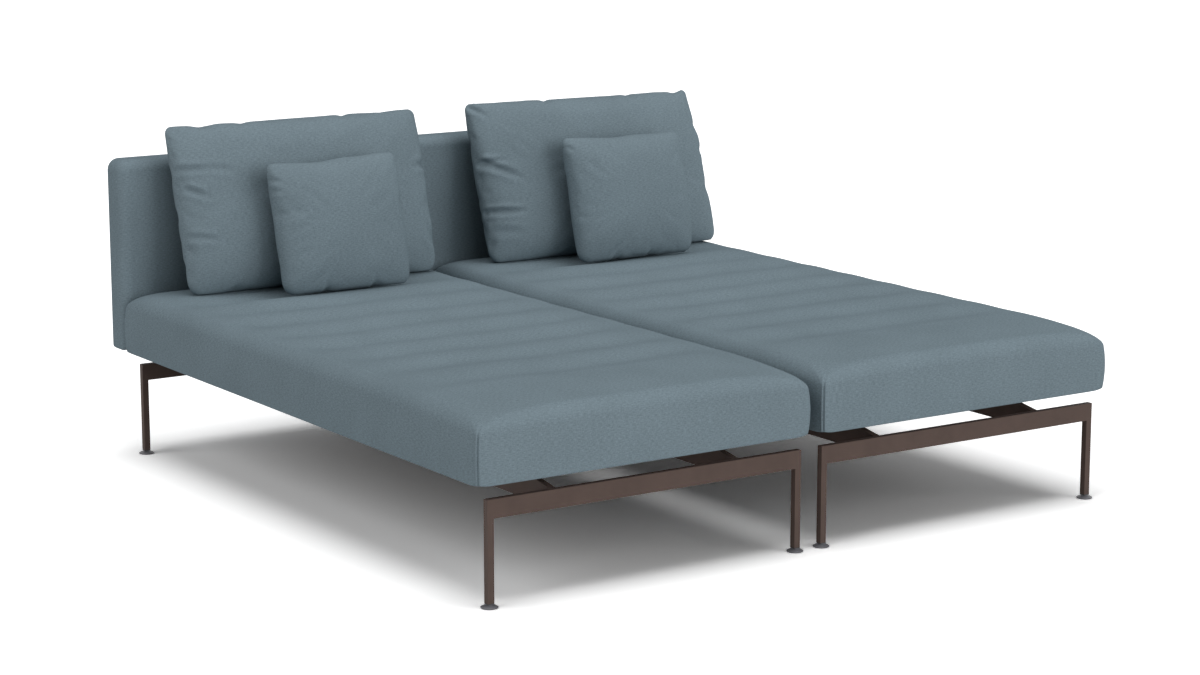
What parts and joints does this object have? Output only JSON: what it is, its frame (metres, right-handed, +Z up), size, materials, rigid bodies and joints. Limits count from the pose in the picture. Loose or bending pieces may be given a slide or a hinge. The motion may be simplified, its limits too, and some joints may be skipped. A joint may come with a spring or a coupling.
{
  "type": "double chaise lounger",
  "caption": "Double chaise lounger: mattresses on slim metal bench frames, joined by one upholstered back, with loose back and throw cushions and levelling feet.",
  "frame": {"origin": "on the floor, under the middle of the whole lounger's box", "axes": "+X to the right seen from the foot end, +Y from the foot end to the back, +Z up"},
  "size_m": [1.692, 1.733, 0.8074],
  "materials": {
    "frame_metal": "dark brown satin powder coat",
    "upholstery": "blue-grey woven outdoor cloth",
    "foot_plastic": "satin mid grey",
    "plug_plastic": "matt black",
    "fastener_steel": "plain stainless steel",
    "board_wood": "marine plywood stained black and sealed"
  },
  "bodies": {
    "root": {"left_front_inner_leg": "frame_metal", "left_front_outer_leg": "frame_metal", "left_rear_inner_leg": "frame_metal", "left_rear_outer_leg": "frame_metal", "right_front_inner_leg": "frame_metal", "right_front_outer_leg": "frame_metal", "right_rear_inner_leg": "frame_metal", "right_rear_outer_leg": "frame_metal", "left_front_bar": "frame_metal", "left_rear_bar": "frame_metal", "left_inner_rail": "frame_metal", "left_inner_back_bracket": "frame_metal", "left_outer_rail": "frame_metal", "left_outer_back_bracket": "frame_metal", "left_leg_plugs": "plug_plastic", "left_seat_tabs": "frame_metal", "left_seat_bolts": "fastener_steel", "left_seat_board": "board_wood", "left_seat_pad": "upholstery", "right_front_bar": "frame_metal", "right_rear_bar": "frame_metal", "right_inner_rail": "frame_metal", "right_inner_back_bracket": "frame_metal", "right_outer_rail": "frame_metal", "right_outer_back_bracket": "frame_metal", "right_leg_plugs": "plug_plastic", "right_seat_tabs": "frame_metal", "right_seat_bolts": "fastener_steel", "right_seat_board": "board_wood", "right_seat_pad": "upholstery", "bracket_bolts": "fastener_steel", "back_bolts": "fastener_steel", "back_board": "board_wood", "back_pad": "upholstery"},
    "left_front_inner_foot": {"left_front_inner_foot_pad": "foot_plastic", "left_front_inner_foot_stud": "fastener_steel"},
    "left_front_outer_foot": {"left_front_outer_foot_pad": "foot_plastic", "left_front_outer_foot_stud": "fastener_steel"},
    "left_rear_inner_foot": {"left_rear_inner_foot_pad": "foot_plastic", "left_rear_inner_foot_stud": "fastener_steel"},
    "left_rear_outer_foot": {"left_rear_outer_foot_pad": "foot_plastic", "left_rear_outer_foot_stud": "fastener_steel"},
    "right_front_inner_foot": {"right_front_inner_foot_pad": "foot_plastic", "right_front_inner_foot_stud": "fastener_steel"},
    "right_front_outer_foot": {"right_front_outer_foot_pad": "foot_plastic", "right_front_outer_foot_stud": "fastener_steel"},
    "right_rear_inner_foot": {"right_rear_inner_foot_pad": "foot_plastic", "right_rear_inner_foot_stud": "fastener_steel"},
    "right_rear_outer_foot": {"right_rear_outer_foot_pad": "foot_plastic", "right_rear_outer_foot_stud": "fastener_steel"},
    "left_back_cushion": {"left_back_cushion": "upholstery"},
    "left_throw_cushion": {"left_throw_cushion": "upholstery"},
    "right_back_cushion": {"right_back_cushion": "upholstery"},
    "right_throw_cushion": {"right_throw_cushion": "upholstery"}
  },
  "joints": [
    {"name": "left_front_inner_foot_screw", "type": "slide", "parent": "root", "child": "left_front_inner_foot", "axis": [0, 0, -1], "range_m": [0, 0.01]},
    {"name": "left_front_outer_foot_screw", "type": "slide", "parent": "root", "child": "left_front_outer_foot", "axis": [0, 0, -1], "range_m": [0, 0.01]},
    {"name": "left_rear_inner_foot_screw", "type": "slide", "parent": "root", "child": "left_rear_inner_foot", "axis": [0, 0, -1], "range_m": [0, 0.01]},
    {"name": "left_rear_outer_foot_screw", "type": "slide", "parent": "root", "child": "left_rear_outer_foot", "axis": [0, 0, -1], "range_m": [0, 0.01]},
    {"name": "right_front_inner_foot_screw", "type": "slide", "parent": "root", "child": "right_front_inner_foot", "axis": [0, 0, -1], "range_m": [0, 0.01]},
    {"name": "right_front_outer_foot_screw", "type": "slide", "parent": "root", "child": "right_front_outer_foot", "axis": [0, 0, -1], "range_m": [0, 0.01]},
    {"name": "right_rear_inner_foot_screw", "type": "slide", "parent": "root", "child": "right_rear_inner_foot", "axis": [0, 0, -1], "range_m": [0, 0.01]},
    {"name": "right_rear_outer_foot_screw", "type": "slide", "parent": "root", "child": "right_rear_outer_foot", "axis": [0, 0, -1], "range_m": [0, 0.01]},
    {"name": "left_back_cushion_lift", "type": "slide", "parent": "root", "child": "left_back_cushion", "axis": [0, 0, 1], "range_m": [0, 0.45]},
    {"name": "left_throw_cushion_lift", "type": "slide", "parent": "left_back_cushion", "child": "left_throw_cushion", "axis": [0, 0, 1], "range_m": [0, 0.35]},
    {"name": "right_back_cushion_lift", "type": "slide", "parent": "root", "child": "right_back_cushion", "axis": [0, 0, 1], "range_m": [0, 0.45]},
    {"name": "right_throw_cushion_lift", "type": "slide", "parent": "right_back_cushion", "child": "right_throw_cushion", "axis": [0, 0, 1], "range_m": [0, 0.35]}
  ]
}
